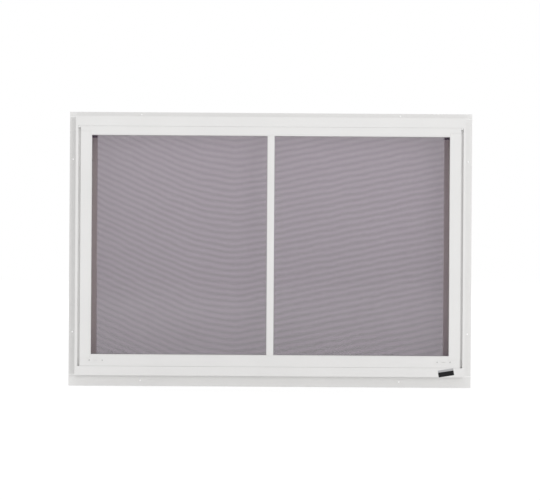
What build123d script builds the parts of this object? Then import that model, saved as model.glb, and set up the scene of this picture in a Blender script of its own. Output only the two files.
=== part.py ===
from build123d import *
import math
import os

# A top-hung window in an aluminium frame with nailing fins.
# A crank on the room side turns a bar along the sill, and two links swing the sash out.
# X runs along the window, Y from outside to the room, Z up, all in millimetres.
# The origin is the middle of the window, on the back of the fins, where the wall begins.

# Frame
frame_width = 900.0
frame_height = 598.0
frame_depth = 100.0
face_ahead_of_fin = 30.0
jamb_face = 6.0
head_face = 16.6
sill_face = 21.6
face_wall = 3.0
tube_wall = 1.5
shell_wall = 2.0
head_wall = 3.0
jamb_chamber = 12.0
stop_lap = 10.0
stop_wall = 2.0
sill_edge_radius = 1.6

# Fins
fin_thickness = 1.5
fin_side = 16.4
fin_head = 11.0
fin_sill = 26.0
fin_corner_gap = 0.6
nail_radius = 1.5
nail_span_side = 400.0
nail_span_level = 600.0

# Sash
sash_gap_side = 5.5
sash_gap_head = 3.0
sash_gap_sill = 3.4
side_groove = 7.0
drip_wall = 1.6
sash_setback = 1.0
sash_depth = 28.0
rail_face = 24.0
stile_face = 25.8
sash_tube = 15.0
sash_wall = 1.8
glazing_leg = 3.0
edge_bead_radius = 1.8
bead_proud = 0.7
bar_face = 16.0
bar_web = 4.0
bar_ridge = 1.0
strip_width = 6.0
strip_margin = 1.0
strip_depth = 3.4
strip_clearance = 0.6
weep_inset = 37.5
weep_rise = 10.0
weep_width = 38.0
weep_height = 10.0
weep_plate = 0.6
weep_hood = 1.0
weep_slot_width = 9.0
weep_slot_height = 0.6
weep_rivet_span = 30.0
rivet_radius = 1.6
rivet_proud = 0.4

# Glass
glass_thickness = 5.0
glass_edge_gap = 2.0
gasket_thickness = 1.5
gasket_width = 4.0
bead_width = 9.0
bead_splay = 5.0
block_length = 40.0

# Top hinge
hinge_inset = 4.0
hinge_radius = 2.5
hinge_reach = 20.0

# Turning bar, levers and links
bar_radius = 6.0
bar_behind_fin = 20.5
bar_above_sill = 25.0
lever_length = 32.0
lever_rest_angle = 15.0
lever_thickness = 4.0
lever_eye = 6.0
lever_hub = 9.0
lever_inset = 29.5
link_thickness = 4.0
link_gap = 1.0
link_width = 11.0
pivot_radius = 3.0
pivot_head = 1.5
pivot_head_radius = 4.5
arm_base_width = 20.0
arm_base = 3.0
arm_margin = 0.5
bearing_width = 14.0
bearing_inset = 34.0
bearing_wall = 4.0
bearing_flange = 12.0
flange_thickness = 3.0

# Worm drive and crank
wheel_teeth = 24
gear_module = 0.8
tooth_height = 0.85
tooth_depth = 1.25
tooth_angle = 20.0
worm_radius = 5.0
wheel_width = 8.0
worm_length = 14.0
shaft_radius = 4.0
shaft_hole_gap = 2.0
stub_radius = 3.0
shaft_past_frame = 32.0
thread_sink = 0.4
case_wall = 3.0
case_floor = 1.7
case_headroom = 1.2
case_length_behind = 18.0
lid_thickness = 1.5
case_half_width = 14.0
hub_radius = 9.0
hub_length = 15.0
crank_radius = 60.0
crank_thickness = 7.0
knob_radius = 10.0
knob_length = 26.0
knob_pin_radius = 3.0
boss_radius = 9.5
boss_length = 16.0
plate_width = 52.0
plate_thickness = 3.0
plate_screw_inset = 6.0
boss_chamfer = 1.5
hub_round = 2.0
hub_cap = 2.0
arm_hub_margin = 1.0
crank_tip_radius = 7.0
knob_round = 4.0
knob_foot_round = 2.0

# Insect screen
screen_depth = 8.0
screen_rail = 22.0
screen_gap = 2.0
screen_rise = 16.0
screen_drop = 12.0
screen_lap = 8.0
screen_groove = 3.0
groove_depth = 4.5
groove_inset = 6.0
rebate_depth = 1.2
mesh_thickness = 0.5
mesh_columns = 20
mesh_rows = 15
strand_width = 3.0
key_length = 30.0
clip_length = 30.0
clip_width = 12.0
clip_thickness = 2.0
clip_height = 150.0

# Fasteners
screw_radius = 2.0
screw_head_radius = 3.6
screw_head = 1.6
set_screw_sink = 0.5
screw_length = 14.0
screw_tip_gap = 1.0
port_length = 25.0
port_wall = 1.7
port_inset = 13.0

# Clearances
seat_gap = 0.3
run_clearance = 0.05
loose_clearance = 0.25
side_clearance = 0.6
lip_clearance = 0.3
lip_rise = 1.2
drip_clearance = 0.2
butt_gap = 0.15
tooth_backlash = 0.2
cut_past = 1.0

# Places worked out from the sizes
half_width = frame_width / 2
half_height = frame_height / 2
face_y = -face_ahead_of_fin
room_y = face_y + frame_depth
opening_x = half_width - jamb_face
head_soffit = half_height - head_wall
sill_floor = -half_height + shell_wall
sash_x = opening_x - sash_gap_side
weep_x = sash_x - weep_inset
sash_top = half_height - head_face - sash_gap_head
sash_bottom = -half_height + sill_face + sash_gap_sill
sash_front = face_y + sash_setback
sash_back = sash_front + sash_depth
stop_y = sash_back + strip_clearance + strip_depth
stop_back = stop_y + stop_wall
chamber_x = opening_x - jamb_chamber
stop_x = sash_x - stop_lap
daylight_x = sash_x - stile_face
daylight_top = sash_top - rail_face
daylight_bottom = sash_bottom + rail_face

hinge_y = sash_front + hinge_inset
hinge_z = sash_top - hinge_inset
bar_y = bar_behind_fin
bar_z = -half_height + bar_above_sill
lever_dy = lever_length * math.cos(math.radians(lever_rest_angle))
lever_dz = lever_length * math.sin(math.radians(lever_rest_angle))
lever_x = half_width - lever_inset - lever_thickness
link_x = lever_x + lever_thickness + link_gap

notch_x = lever_x - arm_base_width - lever_thickness
head_port_z = head_soffit - screw_radius - port_wall
sill_port_z = sill_floor + screw_radius + port_wall

wheel_radius = gear_module * wheel_teeth / 2
worm_z = bar_z - wheel_radius - worm_radius

screen_front = room_y - screen_depth
screen_x = chamber_x - screen_gap
screen_top = head_soffit - screen_drop
screen_bottom = -half_height + screen_rise
screen_stop_back = screen_front - seat_gap
screen_stop_front = screen_stop_back - stop_wall


def slab(x, y, z):
    """A block between pairs of limits along X, Y and Z."""
    size = Box(x[1] - x[0], y[1] - y[0], z[1] - z[0])
    return Pos((x[0] + x[1]) / 2, (y[0] + y[1]) / 2, (z[0] + z[1]) / 2) * size


def rod(start, end, radius):
    """A round bar from one point to another."""
    line = Vector(*end) - Vector(*start)
    body = Cylinder(radius, line.length, align=(Align.CENTER, Align.CENTER, Align.MIN))
    return Plane(origin=start, z_dir=line) * body


def screw(head_point, direction, length=screw_length):
    """A pan-head screw whose head seats at a point and whose shank runs along a direction."""
    way = Vector(*direction).normalized()
    seat = Vector(*head_point)
    shank = rod(tuple(seat), tuple(seat + way * length), screw_radius)
    cap = rod(tuple(seat - way * screw_head), tuple(seat), screw_head_radius)
    return shank + cap


def screw_hole(start, end):
    """A clear hole for a screw's shank, from one point to another."""
    return rod(start, end, screw_radius + run_clearance)


def across(shape):
    """The same shape on the other side of the window's middle."""
    return mirror(shape, about=Plane.YZ)


def both_sides(shape):
    return [shape, across(shape)]


def save(name, *shapes):
    """Write one node, with each shape as a solid of its own."""
    solids = []
    for shape in shapes:
        solids.extend(shape.solids())
    whole = solids[0] if len(solids) == 1 else Compound(children=solids)
    export_step(whole, f"parts/{name}.step")


os.makedirs("parts", exist_ok=True)


# Frame: two jambs, a head and a sill, each with its fin
def make_jamb():
    """The right jamb: a hollow outer wall, a step beside the sash, a chamber behind it, a stop and a fin."""
    tall = (-half_height, half_height)
    outer = slab((opening_x, half_width), (face_y, room_y), tall)
    outer -= slab((opening_x + tube_wall, half_width - tube_wall),
                  (face_y + tube_wall, room_y - tube_wall), tall)
    chamber = slab((chamber_x, opening_x), (stop_y, room_y), tall)
    chamber -= slab((chamber_x + shell_wall, opening_x),
                    (stop_back, room_y - shell_wall), tall)
    stop = slab((stop_x, chamber_x), (stop_y, stop_back), tall)
    rest = slab((chamber_x - screen_lap, chamber_x), (screen_stop_front, screen_stop_back), tall)
    fin = slab((half_width, half_width + fin_side), (-fin_thickness, 0),
               (-half_height + fin_corner_gap, half_height - fin_corner_gap))
    step = slab((sash_x + side_clearance, opening_x), (face_y + side_groove, stop_y),
                (sash_bottom - sash_gap_sill, sash_top + sash_gap_head))
    step -= rod((sash_x - cut_past, hinge_y, hinge_z), (opening_x + cut_past, hinge_y, hinge_z),
                hinge_inset + seat_gap)
    jamb = outer + chamber + stop + rest + step + fin
    for z in (-nail_span_side / 2, nail_span_side / 2):
        x = half_width + fin_side / 2
        jamb -= rod((x, -fin_thickness - cut_past, z), (x, 1, z), nail_radius)
    jamb -= rod((opening_x - cut_past, hinge_y, hinge_z), (half_width + cut_past, hinge_y, hinge_z),
                hinge_radius + run_clearance)
    for x, z in clip_places():
        jamb -= screw_hole((x, room_y - screw_length - cut_past, z), (x, room_y + cut_past, z))
    for y, z in corner_screws():
        jamb -= screw_hole((chamber_x - cut_past, y, z), (half_width + cut_past, y, z))
    # The head and the sill run between the two outer walls, so the inner ribs stop short of them.
    head_room = slab((stop_x - screen_lap - cut_past, opening_x), (face_y, room_y),
                     (head_soffit, half_height))
    sill_room = slab((stop_x - screen_lap - cut_past, opening_x), (face_y, room_y),
                     (-half_height, sill_floor))
    return jamb - head_room - sill_room


def clip_places():
    """Where the screen's turn clips pivot on the right jamb, as X and Z."""
    x = (chamber_x + opening_x) / 2
    return [(x, -clip_height), (x, clip_height)]


def corner_screws():
    """Where a jamb's screws enter the ends of the head and the sill, as Y and Z."""
    front = stop_back + port_inset
    back = screen_stop_front - port_inset
    return [(front, head_port_z), (back, head_port_z), (front, sill_port_z), (back, sill_port_z)]


def make_head():
    """The head: a top wall, the face above the sash, a sash stop, a screen rest and a fin."""
    long = (-opening_x, opening_x)
    short = (-notch_x, notch_x)
    screen_long = (-chamber_x + screen_lap, chamber_x - screen_lap)
    head = slab(long, (face_y, room_y), (head_soffit, half_height))
    head += slab(long, (face_y, face_y + face_wall), (half_height - head_face, half_height))
    head += head_lip(long)
    head += slab(short, (stop_y, stop_back), (sash_top - stop_lap, head_soffit))
    head += slab(screen_long, (screen_stop_front, screen_stop_back),
                 (screen_top - screen_lap, head_soffit))
    head += slab((-chamber_x, chamber_x), (room_y - shell_wall, room_y),
                 (screen_top + screen_gap, head_soffit))
    head += slab((-half_width - fin_side, half_width + fin_side), (-fin_thickness, 0),
                 (half_height, half_height + fin_head))
    head += screw_ports(head_port_z, head_soffit)
    for x in (-nail_span_level / 2, nail_span_level / 2):
        z = half_height + fin_head / 2
        head -= rod((x, -fin_thickness - cut_past, z), (x, 1, z), nail_radius)
    return head


def head_lip(long):
    """A lip below the head's face, hollowed round the hinge so that the sash's round edge turns in it."""
    lip = slab(long, (face_y, hinge_y), (hinge_z + lip_rise, half_height - head_face))
    hollow = hinge_inset + lip_clearance
    return lip - rod((long[0] - cut_past, hinge_y, hinge_z), (long[1] + cut_past, hinge_y, hinge_z), hollow)


def screw_ports(z, wall_z):
    """Blocks at the ends of the head or the sill that take the screws coming through the jambs."""
    ports = []
    for y, height in corner_screws():
        if height != z:
            continue
        low, high = sorted((wall_z, z - math.copysign(screw_radius + port_wall, wall_z - z)))
        block = slab((chamber_x - port_length, chamber_x),
                     (y - screw_radius - port_wall, y + screw_radius + port_wall), (low, high))
        block -= screw_hole((chamber_x - port_length - cut_past, y, z), (chamber_x + cut_past, y, z))
        ports.extend(both_sides(block))
    return ports


def make_sill():
    """The sill: a floor, the face below the sash, a sash stop, a screen rest, a room wall and a fin."""
    long = (-opening_x, opening_x)
    inner = (-chamber_x, chamber_x)
    between_rests = (-chamber_x + screen_lap, chamber_x - screen_lap)
    sill = slab(long, (face_y, room_y), (-half_height, sill_floor))
    sill += slab(long, (face_y, face_y + face_wall), (-half_height, -half_height + sill_face))
    sill += slab((-stop_x, stop_x), (stop_y, stop_back), (sill_floor, sash_bottom + stop_lap))
    sill += slab(between_rests, (screen_stop_front, screen_stop_back),
                 (sill_floor, screen_bottom + screen_lap))
    sill += slab(inner, (room_y - shell_wall, room_y), (sill_floor, screen_bottom - seat_gap))
    sill += slab((-half_width - fin_side, half_width + fin_side), (-fin_thickness, 0),
                 (-half_height - fin_sill, -half_height))
    front_edge = sill.edges().filter_by(Axis.X).group_by(Axis.Y)[0].sort_by(Axis.Z)[0]
    sill = fillet(front_edge, min(sill_edge_radius, shell_wall - run_clearance))
    sill += screw_ports(sill_port_z, sill_floor)
    sill -= rod((0, screen_stop_front - cut_past, worm_z), (0, room_y + cut_past, worm_z),
                shaft_radius + shaft_hole_gap)
    for x, y in case_screws() + bearing_screws() + [(-x, y) for x, y in bearing_screws()]:
        sill -= screw_hole((x, y, -half_height - cut_past), (x, y, sill_floor + cut_past))
    for x, z in escutcheon_screws():
        sill -= screw_hole((x, room_y - shell_wall - cut_past, z), (x, room_y + cut_past, z))
    for x in (-nail_span_level / 2, nail_span_level / 2):
        z = -half_height - fin_sill / 2
        sill -= rod((x, -fin_thickness - cut_past, z), (x, 1, z), nail_radius)
    return sill


def make_corner_screws():
    """The screws that hold the jambs to the head and the sill, driven from inside each chamber."""
    screws = []
    for y, z in corner_screws():
        seat = (chamber_x + shell_wall, y, z)
        screws.extend(both_sides(screw(seat, (-1, 0, 0))))
    return screws


def make_weatherstrip():
    """Soft strips on the frame's stops, a hair behind the closed sash."""
    y = (stop_y - strip_depth, stop_y)
    side = slab((stop_x + strip_margin, stop_x + strip_margin + strip_width), y,
                (sash_bottom + stop_lap, sash_top - stop_lap))
    top_z = sash_top - stop_lap + strip_margin
    top = slab((-notch_x, notch_x), y, (top_z, top_z + strip_width))
    low_z = sash_bottom + stop_lap - strip_margin
    low = slab((-stop_x, stop_x), y, (low_z - strip_width, low_z))
    return both_sides(side) + [top, low]


save("corner_screws", *make_corner_screws())
save("weatherstrip", *make_weatherstrip())


# Sash: two rails across, two stiles between them, a middle bar and the glazing
tube_top = sash_top - sash_tube
tube_bottom = sash_bottom + sash_tube
leg_back = sash_front + glazing_leg
bead_y = sash_front + edge_bead_radius - bead_proud
sash_mid_y = (sash_front + sash_back) / 2
stile_screw_x = sash_x - sash_tube / 2


def make_top_rail():
    """The top rail: a tube round at the hinge's edge, a glazing leg, and blocks for the hinge pins."""
    tube = slab((-sash_x, sash_x), (sash_front, sash_back), (tube_top, sash_top))
    tube -= slab((-sash_x, sash_x), (sash_front + sash_wall, sash_back - sash_wall),
                 (tube_top + sash_wall, sash_top - sash_wall))
    leg = slab((-daylight_x, daylight_x), (sash_front, leg_back), (daylight_top, tube_top))
    edge = rod((-daylight_x, bead_y, daylight_top + edge_bead_radius),
               (daylight_x, bead_y, daylight_top + edge_bead_radius), edge_bead_radius)
    block = slab((sash_x - hinge_reach, sash_x), (sash_front, sash_front + 2 * hinge_inset),
                 (sash_top - 2 * hinge_inset, sash_top))
    rail = tube + leg + edge + both_sides(block)
    bore = rod((sash_x - hinge_reach - cut_past, hinge_y, hinge_z), (sash_x + cut_past, hinge_y, hinge_z),
               hinge_radius + run_clearance)
    hole = screw_hole((stile_screw_x, sash_mid_y, tube_top - cut_past),
                      (stile_screw_x, sash_mid_y, sash_top + cut_past))
    past_x = sash_x + cut_past
    round_edge = slab((-past_x, past_x), (sash_front - cut_past, hinge_y), (hinge_z, sash_top + cut_past))
    round_edge -= rod((-past_x, hinge_y, hinge_z), (past_x, hinge_y, hinge_z), hinge_inset)
    for cut in both_sides(bore) + both_sides(hole) + [round_edge]:
        rail -= cut
    for x, z in arm_screws():
        pilot = screw_hole((x, sash_back - sash_wall - cut_past, z), (x, sash_back + cut_past, z))
        for cut in both_sides(pilot):
            rail -= cut
    return rail


def make_bottom_rail():
    """The bottom rail, a tube and a glazing leg like the top one, and a drip edge over the sill."""
    tube = slab((-sash_x, sash_x), (sash_front, sash_back), (sash_bottom, tube_bottom))
    tube -= slab((-sash_x, sash_x), (sash_front + sash_wall, sash_back - sash_wall),
                 (sash_bottom + sash_wall, tube_bottom - sash_wall))
    leg = slab((-daylight_x, daylight_x), (sash_front, leg_back), (tube_bottom, daylight_bottom))
    edge = rod((-daylight_x, bead_y, daylight_bottom - edge_bead_radius),
               (daylight_x, bead_y, daylight_bottom - edge_bead_radius), edge_bead_radius)
    drip = slab((-sash_x, sash_x), (sash_front, sash_front + drip_wall),
                (sash_bottom - sash_gap_sill + drip_clearance, sash_bottom))
    rail = tube + leg + edge + drip
    hole = screw_hole((stile_screw_x, sash_mid_y, sash_bottom - cut_past),
                      (stile_screw_x, sash_mid_y, tube_bottom + cut_past))
    for cut in both_sides(hole) + both_sides(weep_slot(sash_front + sash_wall)):
        rail -= cut
    return rail


def make_stile():
    """The right stile: a hollow tube with plugged ends, and a glazing leg with a rounded edge."""
    tall = (tube_bottom + butt_gap, tube_top - butt_gap)
    stile = slab((sash_x - sash_tube, sash_x), (sash_front, sash_back), tall)
    stile -= slab((sash_x - sash_tube + sash_wall, sash_x - sash_wall),
                  (sash_front + sash_wall, sash_back - sash_wall),
                  (tube_bottom + screw_length, tube_top - screw_length))
    stile += slab((daylight_x, sash_x - sash_tube), (sash_front, leg_back), tall)
    edge_x = daylight_x + edge_bead_radius
    stile += rod((edge_x, bead_y, tall[0]), (edge_x, bead_y, tall[1]), edge_bead_radius)
    for low, high in ((tube_bottom - cut_past, tube_bottom + screw_length + cut_past),
                      (tube_top - screw_length - cut_past, tube_top + cut_past)):
        stile -= screw_hole((stile_screw_x, sash_mid_y, low), (stile_screw_x, sash_mid_y, high))
    return stile


def make_glazing_bar():
    """The upright middle bar: a faintly ridged cap in front of a web that parts the panes."""
    half = bar_face / 2
    cap = Polyline((-half, leg_back), (-half, sash_front + bar_ridge), (0, sash_front),
                   (half, sash_front + bar_ridge), (half, leg_back), close=True)
    plate = extrude(Pos(0, 0, daylight_bottom) * make_face(cap), daylight_top - daylight_bottom)
    web = slab((-bar_web / 2, bar_web / 2), (leg_back, sash_back), (tube_bottom, tube_top))
    return plate + web


pane_x = (bar_web / 2 + glass_edge_gap, sash_x - sash_tube - glass_edge_gap)
pane_z = (tube_bottom + glass_edge_gap, tube_top - glass_edge_gap)
glass_front = leg_back + gasket_thickness
glass_back = glass_front + glass_thickness


def make_pane():
    return slab(pane_x, (glass_front, glass_back), pane_z)


def make_gasket():
    """The soft ring between a pane and the legs in front of it."""
    y = (leg_back, glass_front)
    ring = slab(pane_x, y, pane_z)
    ring -= slab((pane_x[0] + gasket_width, pane_x[1] - gasket_width), y,
                 (pane_z[0] + gasket_width, pane_z[1] - gasket_width))
    return ring


def make_beads():
    """Four snap-in beads that hold a pane from the room side."""
    y = (glass_back, sash_back)
    near = bar_web / 2
    far = sash_x - sash_tube
    bar_bead = bar_face / 2 - near
    across_x = (near, far)
    low = slab(across_x, y, (tube_bottom, tube_bottom + bead_width))
    high = slab(across_x, y, (tube_top - bead_width, tube_top))
    tall = (tube_bottom + bead_width, tube_top - bead_width)
    inner = slab((near, near + bar_bead), y, tall)
    outer = slab((far - bead_width, far), y, tall)
    return [splay(low, 1), splay(high, -1), inner, outer]


def splay(bead, way):
    """Slope a level bead's room-side edge, above it for way 1 and below it for way -1."""
    level = bead.edges().filter_by(Axis.X).group_by(Axis.Y)[-1].sort_by(Axis.Z)
    edge = level[-1] if way > 0 else level[0]
    return chamfer(edge, bead_splay)


def make_setting_blocks():
    """Pads under each pane's lower edge."""
    blocks = []
    width = pane_x[1] - pane_x[0]
    for quarter in (1, 3):
        middle = pane_x[0] + quarter * width / 4
        block = slab((middle - block_length / 2, middle + block_length / 2),
                     (glass_front, glass_back), (tube_bottom, pane_z[0]))
        blocks.extend(both_sides(block))
    return blocks


def make_sash_screws():
    """One long screw at each corner, through a rail and into a stile."""
    long = sash_tube + screw_length - screw_tip_gap
    top = screw((stile_screw_x, sash_mid_y, sash_top), (0, 0, -1), long)
    low = screw((stile_screw_x, sash_mid_y, sash_bottom), (0, 0, 1), long)
    return both_sides(top) + both_sides(low)


def arm_screws():
    """Where a sash arm is screwed to the back of the top rail, as X and Z."""
    x = lever_x - arm_base_width / 2
    middle = sash_top - sash_tube / 2
    return [(x, middle)]


def make_weep_covers():
    """A small hooded plate over each drain slot in the bottom rail."""
    z = sash_bottom + weep_rise
    plate = slab((weep_x - weep_width / 2, weep_x + weep_width / 2),
                 (sash_front - weep_plate, sash_front), (z - weep_height / 2, z + weep_height / 2))
    hood = slab((weep_x - weep_height / 2, weep_x + weep_height / 2),
                (sash_front - weep_hood, sash_front), (z - weep_height / 2, z + weep_height / 2))
    for x in weep_rivet_places():
        plate -= rod((x, sash_front - weep_plate - cut_past, z), (x, sash_front, z),
                     rivet_radius + run_clearance)
    return both_sides(plate + hood - weep_slot(sash_front))


def weep_slot(back):
    """The drain slot, from the hood's face to a depth in the rail."""
    z = sash_bottom + weep_rise
    return slab((weep_x - weep_slot_width / 2, weep_x + weep_slot_width / 2),
                (sash_front - weep_hood, back), (z - weep_slot_height / 2, z + weep_slot_height / 2))


def weep_rivet_places():
    return [weep_x - weep_rivet_span / 2, weep_x + weep_rivet_span / 2]


def make_weep_rivets():
    z = sash_bottom + weep_rise
    rivets = []
    for x in weep_rivet_places():
        outer = (x, sash_front - weep_plate - rivet_proud, z)
        rivets.extend(both_sides(rod(outer, (x, sash_front, z), rivet_radius)))
    return rivets


save("top_rail", make_top_rail())
save("bottom_rail", make_bottom_rail())
save("right_stile", make_stile())
save("left_stile", across(make_stile()))
save("glazing_bar", make_glazing_bar())
save("right_pane", make_pane())
save("left_pane", across(make_pane()))
save("right_gasket", make_gasket())
save("left_gasket", across(make_gasket()))
right_beads = make_beads()
save("right_beads", *right_beads)
save("left_beads", *[across(bead) for bead in right_beads])
save("setting_blocks", *make_setting_blocks())
save("sash_screws", *make_sash_screws())
save("weep_covers", *make_weep_covers())
save("weep_rivets", *make_weep_rivets())


# Top hinge: a pin, flush with each jamb's outer face, into the end of the top rail
def make_hinge_pin():
    return rod((sash_x - hinge_reach, hinge_y, hinge_z), (half_width, hinge_y, hinge_z), hinge_radius)


def make_hinge_bush():
    """A spacer on the pin between the rail's end and the jamb."""
    start = (sash_x + seat_gap / 2, hinge_y, hinge_z)
    end = (opening_x - seat_gap / 2, hinge_y, hinge_z)
    return rod(start, end, hinge_inset) - rod(start, end, hinge_radius + run_clearance)


save("hinge_pins", *both_sides(make_hinge_pin()))
save("hinge_bushes", *both_sides(make_hinge_bush()))


# Linkage: the lever on the bar and the arm on the sash are equal and parallel
def eye_plate(start, end, start_radius, end_radius, thickness):
    """A flat plate with round ends, between two points that share their X."""
    way = (Vector(*end) - Vector(*start)).normalized()
    side = Vector(0, -way.Z, way.Y)
    first = Vector(*start)
    second = Vector(*end)
    corners = [first + side * start_radius, second + side * end_radius,
               second - side * end_radius, first - side * start_radius]
    web = extrude(make_face(Polyline(*corners, close=True)), thickness, dir=(1, 0, 0))
    step = Vector(thickness, 0, 0)
    return web + rod(tuple(first), tuple(first + step), start_radius) + rod(
        tuple(second), tuple(second + step), end_radius)


arm_eye = (lever_x, hinge_y + lever_dy, hinge_z + lever_dz)
lever_end = (lever_x, bar_y + lever_dy, bar_z + lever_dz)
pin_end_x = link_x + link_thickness + link_gap / 2


def pivot_pin(point):
    """A headed pin from a lever or an arm through the link beside it."""
    start = (lever_x, point[1], point[2])
    neck = (pin_end_x, point[1], point[2])
    tip = (pin_end_x + pivot_head, point[1], point[2])
    return rod(start, neck, pivot_radius) + rod(neck, tip, pivot_head_radius)


def make_sash_arm():
    """The right sash arm: a base on the top rail's back and an eye behind the hinge."""
    base_z = (tube_top + arm_margin, sash_top - arm_margin)
    base = slab((lever_x - arm_base_width, lever_x + lever_thickness),
                (sash_back, sash_back + arm_base), base_z)
    for x, z in arm_screws():
        base -= screw_hole((x, sash_back - cut_past, z), (x, sash_back + arm_base + cut_past, z))
    neck = slab((lever_x, lever_x + lever_thickness), (sash_back, arm_eye[1] + pivot_radius),
                (base_z[0], arm_eye[2]))
    eye = rod(arm_eye, (lever_x + lever_thickness, arm_eye[1], arm_eye[2]), lever_eye)
    return base + neck + eye + pivot_pin(arm_eye)


def make_arm_screws():
    screws = []
    for x, z in arm_screws():
        seat = (x, sash_back + arm_base, z)
        screws.extend(both_sides(screw(seat, (0, -1, 0), arm_base + sash_wall)))
    return screws


def make_lever():
    hub = (lever_x, bar_y, bar_z)
    lever = eye_plate(hub, lever_end, lever_hub, lever_eye, lever_thickness)
    lever -= rod((lever_x - cut_past, bar_y, bar_z), (lever_x + lever_thickness + cut_past, bar_y, bar_z),
                 bar_radius + run_clearance)
    return lever + pivot_pin(lever_end)


def make_link():
    top = (link_x, arm_eye[1], arm_eye[2])
    low = (link_x, lever_end[1], lever_end[2])
    link = eye_plate(top, low, link_width / 2, link_width / 2, link_thickness)
    for point, clearance in ((top, loose_clearance), (low, run_clearance)):
        link -= rod((link_x - cut_past, point[1], point[2]),
                    (link_x + link_thickness + cut_past, point[1], point[2]), pivot_radius + clearance)
    return link


def make_turning_bar():
    """The bar along the sill, from lever to lever."""
    reach = lever_x + lever_thickness
    return rod((-reach, bar_y, bar_z), (reach, bar_y, bar_z), bar_radius)


def bearing_screws():
    """Where a bearing is screwed to the sill's floor, as X and Y."""
    reach = bearing_width / 2 + bearing_flange / 2
    return [(lever_x - bearing_inset - reach, bar_y), (lever_x - bearing_inset + reach, bar_y)]


def make_bearing():
    """A block on the sill's floor that the bar turns in."""
    middle = lever_x - bearing_inset
    half = bar_radius + bearing_wall
    block = slab((middle - bearing_width / 2, middle + bearing_width / 2), (bar_y - half, bar_y + half),
                 (sill_floor, bar_z + half))
    flange_half = bearing_width / 2 + bearing_flange
    block += slab((middle - flange_half, middle + flange_half), (bar_y - half, bar_y + half),
                  (sill_floor, sill_floor + flange_thickness))
    block -= rod((middle - bearing_width, bar_y, bar_z), (middle + bearing_width, bar_y, bar_z),
                 bar_radius + run_clearance)
    for x, y in bearing_screws():
        block -= screw_hole((x, y, sill_floor - cut_past), (x, y, sill_floor + flange_thickness + cut_past))
    return block


def floor_screw(x, y):
    """A short screw through a flange and the sill's floor."""
    return screw((x, y, sill_floor + flange_thickness), (0, 0, -1), flange_thickness + shell_wall)


save("right_sash_arm", make_sash_arm())
save("left_sash_arm", across(make_sash_arm()))
save("arm_screws", *make_arm_screws())
save("right_lever", make_lever())
save("left_lever", across(make_lever()))
save("right_link", make_link())
save("left_link", across(make_link()))
save("turning_bar", make_turning_bar())
save("right_bearing", make_bearing())
save("left_bearing", across(make_bearing()))
bearing_fixings = []
for screw_x, screw_y in bearing_screws():
    bearing_fixings.extend(both_sides(floor_screw(screw_x, screw_y)))
save("bearing_screws", *bearing_fixings)


# Worm drive: the crank's shaft carries a worm under a wheel on the turning bar
lead = math.pi * gear_module
half_tooth = lead / 4 - tooth_backlash / 2
flank = math.tan(math.radians(tooth_angle))
addendum = tooth_height * gear_module
dedendum = tooth_depth * gear_module
case_front = stop_back + seat_gap
case_back = bar_y + worm_length / 2 + case_length_behind
case_top = bar_z + wheel_radius + addendum + case_headroom


def make_wheel():
    """The worm wheel, its teeth slanted to suit the worm's thread."""
    slant = lead / (2 * math.pi * worm_radius)
    twist = math.degrees(slant * wheel_width / 2 / wheel_radius)
    ends = [wheel_face(-wheel_width / 2, -twist), wheel_face(wheel_width / 2, twist)]
    wheel = loft(ends, ruled=True)
    return wheel - rod((-wheel_width, bar_y, bar_z), (wheel_width, bar_y, bar_z), bar_radius + run_clearance)


def wheel_face(x, turn):
    """The wheel's toothed outline at one X, turned about the bar, with a gap at its lowest point."""
    points = []
    rims = ((wheel_radius - dedendum, half_tooth + dedendum * flank),
            (wheel_radius + addendum, half_tooth - addendum * flank))
    for tooth in range(wheel_teeth):
        middle = math.radians(-90 + turn) + 2 * math.pi * (tooth + 0.5) / wheel_teeth
        (root, wide), (tip, narrow) = rims
        for radius, offset in ((root, -wide), (tip, -narrow), (tip, narrow), (root, wide)):
            angle = middle + offset / wheel_radius
            points.append((x, bar_y + radius * math.cos(angle), bar_z + radius * math.sin(angle)))
    return make_face(Polyline(*points, close=True))


def make_worm_shaft():
    """The crank's shaft: a stub in the case, a threaded stretch and a plain stretch to the crank."""
    worm_start = bar_y - worm_length / 2
    worm_end = bar_y + worm_length / 2
    root = worm_radius - dedendum
    stub = rod((0, case_front, worm_z), (0, worm_start, worm_z), stub_radius)
    core = rod((0, worm_start, worm_z), (0, worm_end, worm_z), root)
    plain = rod((0, worm_end, worm_z), (0, room_y + shaft_past_frame, worm_z), shaft_radius)
    turns = math.floor((worm_length / 2 - lead / 2) / lead)
    first_y = bar_y - turns * lead
    axis = Plane(origin=(0, first_y, worm_z), x_dir=(0, 0, 1), z_dir=(0, 1, 0))
    sink = root - thread_sink
    base = half_tooth + (worm_radius - sink) * flank
    tip = half_tooth - addendum * flank
    outline = Polyline((sink, -base), (worm_radius + addendum, -tip), (worm_radius + addendum, tip),
                       (sink, base), close=True)
    section = axis * (Plane.XZ * make_face(outline))
    path = axis * Helix(lead, 2 * turns * lead, worm_radius)
    thread = sweep(section, path=path, is_frenet=True)
    return stub + core + thread + plain


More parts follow.
